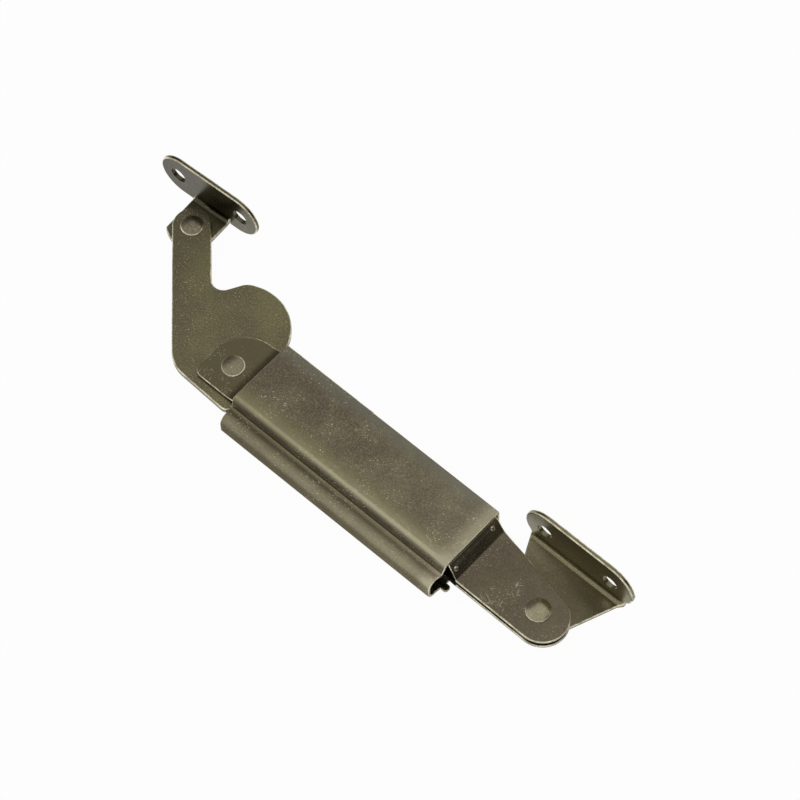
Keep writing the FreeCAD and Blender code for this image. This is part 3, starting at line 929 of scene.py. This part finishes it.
@dataclass
class RivetPiece:
    """A rivet with a soft domed head and a peened tail.

    Attributes:
        node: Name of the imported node.
        body: Body that it rides on.
        head_height: Height of the head, in metres.
        dome: Share of that height that its top curves down over.
        rim: Share of the radius at which the rounded rim starts.
        curve: Power by which the dome falls towards the rim.
        dome_steps: Steps of the outline over the dome.
        rim_turns_deg: Angles of the outline's points round the rim.
        turn_steps: Steps of a full turn about the axis.
        shank_radius: Radius of the shank, in metres.
        tail_height: Height of the tail, in metres.
        tail_radius: Radius of the tail, in metres.
        tail_chamfer: Width of each of the two slopes round the tail's end, in metres.
        tail_lip: Height of the flatter slope, in metres.
        hollow_share: Share of the tail's radius at which the hollow in its end grows flatter.
        hollow_depths: Depth of the hollow there and in the middle, in metres.
        crease_deg: Edges bent more than this are shaded as creases.
    """

    node: str
    body: Body
    head_height: float
    dome: float
    rim: float = 0.9
    curve: float = 2.2
    dome_steps: int = 14
    rim_turns_deg: tuple[int, ...] = (30, 60, 90)
    turn_steps: int = 56
    shank_radius: float = 0.0024
    tail_height: float = 0.0011
    tail_radius: float = 0.0035
    tail_chamfer: float = 0.0004
    tail_lip: float = 0.0001
    hollow_share: float = 0.45
    hollow_depths: tuple[float, float] = (0.0002, 0.0003)
    crease_deg: float = 50.0

    def outline(self) -> list[tuple[float, float]]:
        """Half outline of the rivet from the head's middle to the tail's middle.

        Returns:
            Radius and height pairs, in metres.
        """
        low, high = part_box(self.node)
        head_r = (high.x - low.x) / 2
        top = high.z
        rim = self.rim
        rows = []
        for index in range(self.dome_steps + 1):
            share = rim * index / self.dome_steps
            rows.append((head_r * share, top - self.dome * self.head_height * share ** self.curve))
        rim_drop = self.dome * self.head_height * rim ** self.curve
        for degrees in self.rim_turns_deg:
            turn = math.radians(degrees)
            out = rim + (1.0 - rim) * math.sin(turn)
            down = rim_drop + (1.0 - rim) * head_r * (1.0 - math.cos(turn))
            rows.append((head_r * out, top - min(down, self.head_height)))
        head_low = top - self.head_height
        tail_top = low.z + self.tail_height
        # Below the tail's wall come its two slopes, its end face and the hollow that the punch left.
        outer_depth, middle_depth = self.hollow_depths
        rows += [
            (head_r, head_low),
            (self.shank_radius, head_low),
            (self.shank_radius, tail_top),
            (self.tail_radius, tail_top),
            (self.tail_radius, low.z + self.tail_lip + self.tail_chamfer),
            (self.tail_radius - self.tail_chamfer, low.z + self.tail_lip),
            (self.tail_radius - 2 * self.tail_chamfer, low.z),
            (self.tail_radius * self.hollow_share, low.z + outer_depth),
            (0.0, low.z + middle_depth),
        ]
        return rows

    def build(self, surface: bpy.types.Material, edge: bpy.types.Material) -> bpy.types.Object:
        """Spins the outline about the rivet's axis.

        Args:
            surface: Finish of the head.
            edge: Finish of its rim.

        Returns:
            The finished piece.
        """
        low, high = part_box(self.node)
        axis = Vector(((low.x + high.x) / 2, (low.y + high.y) / 2, 0.0))
        mesh = bmesh.new()
        chain = [mesh.verts.new(axis + Vector((radius, 0.0, height))) for radius, height in self.outline()]
        for first, second in zip(chain, chain[1:]):
            mesh.edges.new((first, second))
        bmesh.ops.spin(
            mesh,
            geom=list(mesh.verts) + list(mesh.edges),
            cent=axis,
            axis=Vector((0.0, 0.0, 1.0)),
            angle=math.tau,
            steps=self.turn_steps,
            use_merge=True,
        )
        bmesh.ops.remove_doubles(mesh, verts=mesh.verts, dist=MERGE_DISTANCE)
        bmesh.ops.recalc_face_normals(mesh, faces=mesh.faces)
        head_r = (high.x - low.x) / 2
        for face in mesh.faces:
            middle = face.calc_center_median()
            outside = (middle - axis).xy.length > self.rim * head_r
            face.material_index = 1 if outside and middle.z > high.z - self.head_height else 0
        piece = make_object(self.node + "_dressed", mesh, (surface, edge), self.crease_deg)
        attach(piece, self.body.value)
        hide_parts(self.node)
        return piece


@dataclass
class SpringPair:
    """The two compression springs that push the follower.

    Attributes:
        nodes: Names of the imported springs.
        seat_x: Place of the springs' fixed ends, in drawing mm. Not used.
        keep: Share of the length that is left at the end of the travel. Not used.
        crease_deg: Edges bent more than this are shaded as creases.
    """

    nodes: tuple[str, str] = ("spring_1", "spring_2")
    seat_x: float = 90.0
    keep: float = 0.631
    crease_deg: float = 60.0

    def build(self, wire: bpy.types.Material) -> list[bpy.types.Object]:
        """Makes both springs.

        Args:
            wire: Finish of the wire.

        Returns:
            The finished springs.
        """
        made = []
        for node in self.nodes:
            mesh = bmesh.new()
            mesh.from_mesh(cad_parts[node].data)
            bmesh.ops.remove_doubles(mesh, verts=mesh.verts, dist=MERGE_DISTANCE)
            piece = make_object(node + "_dressed", mesh, (wire,), self.crease_deg)
            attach(piece, Body.HOUSING.value)
            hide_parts(node)
            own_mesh(piece)
            made.append(piece)
        return made


# Middles of the screw holes, half way through the sheet, in drawing mm.
LID_HOLES = ((-60.1, 39.09, 5.85), (-34.34, 40.44, 5.85))
BODY_HOLES = ((112.85, 19.25, 8.2), (138.65, 19.25, 8.2))
# The body bracket's bend: both radii, and the sheet's two sides where each bend starts and ends.
BODY_BEND = CloserBend(
    leg_top=0.75,
    flange_inner=18.5,
    radius=3.0,
    closer=1.5,
    start_sides=(109.05, 142.45),
    end_sides=(106.59, 146.11),
    closer_start_sides=(108.25, 143.3),
    closer_end_sides=(107.8, 144.7),
)


class LidStay:
    """All pieces of the stay, by sub-assembly."""

    sheets: tuple[tuple[SheetPiece, str], ...] = (
        (SheetPiece("cover", Body.HOUSING, Slot.COVER, edge_width=0.00024), "cover"),
        (SheetPiece("front_plate", Body.HOUSING, Slot.BRASS, edge_width=0.0003), "plate"),
        (SheetPiece("rear_plate", Body.HOUSING, Slot.BRASS, edge_width=0.0003), "plate"),
        (SheetPiece("cam_arm", Body.ARM, Slot.BRASS, edge_width=0.00035), "sheet"),
        (
            SheetPiece("lid_bracket", Body.LID_SIDE, Slot.BRASS, edge_width=0.00038, holes=LID_HOLES),
            "lid_bracket",
        ),
        (
            SheetPiece(
                "body_bracket",
                Body.BODY_SIDE,
                Slot.BRASS,
                edge_width=0.00038,
                bend=BODY_BEND,
                holes=BODY_HOLES,
            ),
            "body_bracket",
        ),
    )
    blocks: tuple[SheetPiece, ...] = (
        SheetPiece("cam_follower", Body.FOLLOWER, Slot.MOULDED, edge_width=0.0003),
        SheetPiece("spring_seat", Body.HOUSING, Slot.MOULDED, edge_width=0.0003),
    )
    rivets: tuple[tuple[RivetPiece, str], ...] = (
        (RivetPiece("cam_pivot_rivet", Body.HOUSING, head_height=0.001, dome=0.8), "rivet"),
        (RivetPiece("lid_rivet", Body.ARM, head_height=0.001, dome=0.7), "lid_rivet"),
        (RivetPiece("body_rivet", Body.HOUSING, head_height=0.0016, dome=0.8, rim=0.96), "bright_rivet"),
    )

    def __init__(self, finishes: Finishes) -> None:
        """Keeps the set of finishes."""
        self.finishes = finishes

    def build(self) -> None:
        """Makes every piece and reports it."""
        edge = self.finishes.edge
        moulded = self.finishes.moulded
        made = [sheet.build(getattr(self.finishes, finish), edge) for sheet, finish in self.sheets]
        made += [block.build(moulded, moulded) for block in self.blocks]
        made += [rivet.build(getattr(self.finishes, finish), edge) for rivet, finish in self.rivets]
        made += SpringPair().build(self.finishes.wire)
        for piece in made:
            LOG.info("%s: %d faces", piece.name, len(piece.data.polygons))


@dataclass(frozen=True)
class DomePatch:
    """A darker or brighter part of the room around the stay.

    Attributes:
        towards: Direction from the stay to the patch's middle.
        half_angle: Angle from the middle to the even part's edge, in degrees.
        fade: Angle over which it fades out, in degrees.
        level: Brightness of the patch.
    """

    towards: tuple[float, float, float]
    half_angle: float
    fade: float
    level: float


@dataclass
class Studio:
    """Floor, lamp, room and camera.

    Attributes:
        room_level: Brightness of the room where no patch changes it.
        room_colour: Colour of the room's light.
        patches: Darker and brighter parts of the room.
        floor_level: Height in drawing mm of the lowest face of the stay.
        floor_gap: Distance of the floor below it, in metres.
        floor_half: Half the width of the floor, in metres.
        floor_colour: Colour of the floor that the light falls on.
        floor_glow: Share of pure white in the floor as the camera and the metal see it.
        lamp_aim: Place that the lamp faces, in drawing mm.
        camera_place: Camera's place in drawing mm.
        camera_right: Camera's right in the row frame.
        camera_up: Camera's up in the row frame.
        camera_back: Direction from the object to the camera.
        lens: Focal length in mm.
        sensor_width: Width of the sensor in mm.
    """

    room_level: float = 0.83
    room_colour: tuple[float, float, float] = (1.0, 0.985, 0.965)
    patches: tuple[DomePatch, ...] = (
        DomePatch(towards=(0.84, 0.32, 0.40), half_angle=13.0, fade=16.0, level=0.10),
        DomePatch(towards=(-0.88, 0.32, 0.30), half_angle=22.0, fade=20.0, level=0.24),
        DomePatch(towards=(-0.30, -0.90, 0.25), half_angle=30.0, fade=30.0, level=0.95),
    )
    floor_level: float = -6.5
    floor_gap: float = 0.0001
    floor_half: float = 6.0
    floor_colour: tuple[float, float, float] = (0.8, 0.8, 0.8)
    floor_glow: float = 0.96
    lamp_aim: tuple[float, float, float] = (45.0, 8.0, 0.0)
    camera_place: tuple[float, float, float] = (393.55, -340.67, 927.64)
    camera_right: tuple[float, float, float] = (0.744015, 0.668018, -0.013928)
    camera_up: tuple[float, float, float] = (-0.581787, 0.657943, 0.478158)
    camera_back: tuple[float, float, float] = (0.328582, -0.347654, 0.878163)
    lens: float = 152.03
    sensor_width: float = 36.0

    def lay_floor(self) -> bpy.types.Object:
        """Makes a white floor that keeps the stay's soft shadow.

        Returns:
            The floor.
        """
        mesh = bmesh.new()
        bmesh.ops.create_grid(mesh, x_segments=1, y_segments=1, size=self.floor_half)
        level = row_point(0.0, 0.0, self.floor_level).z - self.floor_gap
        bmesh.ops.translate(mesh, verts=mesh.verts, vec=Vector((0.0, 0.0, level)))
        material = bpy.data.materials.new("white floor")
        board = NodeBoard(material)
        diffuse = board.add("ShaderNodeBsdfDiffuse")
        diffuse.inputs["Color"].default_value = (*self.floor_colour, 1.0)
        glow = board.add("ShaderNodeEmission")
        glow.inputs["Color"].default_value = (1.0, 1.0, 1.0, 1.0)
        share = board.math("MULTIPLY", board.seen_directly(), self.floor_glow)
        blend = board.add("ShaderNodeMixShader")
        board.link(share, blend.inputs[0])
        board.link(diffuse.outputs[0], blend.inputs[1])
        board.link(glow.outputs[0], blend.inputs[2])
        output = board.add("ShaderNodeOutputMaterial")
        board.link(blend.outputs[0], output.inputs["Surface"])
        floor = make_object("floor", mesh, (material,))
        return floor

    def light_world(self) -> None:
        """Lights the room, darker towards both ends of the stay and brighter on the hood's side.

        The camera sees plain white behind the stay.
        """
        world = bpy.data.worlds.new("room")
        bpy.context.scene.world = world
        board = NodeBoard(world)
        direction = board.add("ShaderNodeTexCoord").outputs["Generated"]
        level = board.add("ShaderNodeValue").outputs[0]
        level.default_value = self.room_level
        for patch in self.patches:
            toward = board.add("ShaderNodeVectorMath", operation="DOT_PRODUCT")
            board.link(direction, toward.inputs[0])
            toward.inputs[1].default_value = Vector(patch.towards).normalized()
            outer = math.cos(math.radians(patch.half_angle + patch.fade))
            inner = math.cos(math.radians(patch.half_angle))
            inside = board.span(toward.outputs["Value"], outer, inner)
            blend = board.add("ShaderNodeMix", data_type="FLOAT")
            board.link(inside, blend.inputs[MIX_FACTOR])
            board.link(level, blend.inputs[NUMBER_FIRST])
            blend.inputs[NUMBER_SECOND].default_value = patch.level
            level = blend.outputs[NUMBER_MIXED]
        even = board.add("ShaderNodeBackground")
        even.inputs["Color"].default_value = (*self.room_colour, 1.0)
        board.link(level, even.inputs["Strength"])
        white = board.add("ShaderNodeBackground")
        white.inputs["Color"].default_value = (1.0, 1.0, 1.0, 1.0)
        white.inputs["Strength"].default_value = 1.0
        blend = board.add("ShaderNodeMixShader")
        board.link(board.add("ShaderNodeLightPath").outputs["Is Camera Ray"], blend.inputs[0])
        board.link(even.outputs[0], blend.inputs[1])
        board.link(white.outputs[0], blend.inputs[2])
        output = board.add("ShaderNodeOutputWorld")
        board.link(blend.outputs[0], output.inputs["Surface"])

    def hang_lamp(
        self, name: str, direction: tuple[float, float, float], distance: float, size: float, power: float
    ) -> None:
        """Hangs a square soft lamp that faces the stay.

        Args:
            name: Name of the lamp.
            direction: Direction from the stay to the lamp.
            distance: Distance in metres.
            size: Edge of the lamp in metres.
            power: Power in watts.
        """
        data = bpy.data.lights.new(name, "AREA")
        data.shape = "SQUARE"
        data.size = size
        data.energy = power
        lamp = bpy.data.objects.new(name, data)
        bpy.context.collection.objects.link(lamp)
        aim = Vector(direction).normalized()
        turn = aim.to_track_quat("Z", "Y").to_matrix().to_4x4()
        lamp.matrix_world = Matrix.Translation(row_point(*self.lamp_aim) + aim * distance) @ turn

    def place_camera(self) -> None:
        """Puts the camera where the photograph was taken from."""
        data = bpy.data.cameras.new("camera")
        data.sensor_width = self.sensor_width
        data.lens = self.lens
        data.clip_start = 0.05
        data.clip_end = 50.0
        camera = bpy.data.objects.new("camera", data)
        bpy.context.collection.objects.link(camera)
        turn = Matrix((self.camera_right, self.camera_up, self.camera_back)).transposed().to_4x4()
        camera.matrix_world = Matrix.Translation(row_point(*self.camera_place)) @ turn
        bpy.context.scene.camera = camera

    def build(self) -> None:
        """Sets the whole studio up."""
        self.lay_floor()
        self.light_world()
        self.hang_lamp("top lamp", direction=(-0.05, 0.30, 0.95), distance=1.4, size=1.0, power=0.3)
        self.place_camera()
        bpy.context.scene.view_settings.view_transform = "Standard"


def main() -> None:
    """Builds the stay and the studio."""
    logging.basicConfig(level=logging.INFO, format="%(message)s")
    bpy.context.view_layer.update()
    Studio().build()
    LidStay(Finishes.build()).build()


if __name__ == "__main__":
    main()
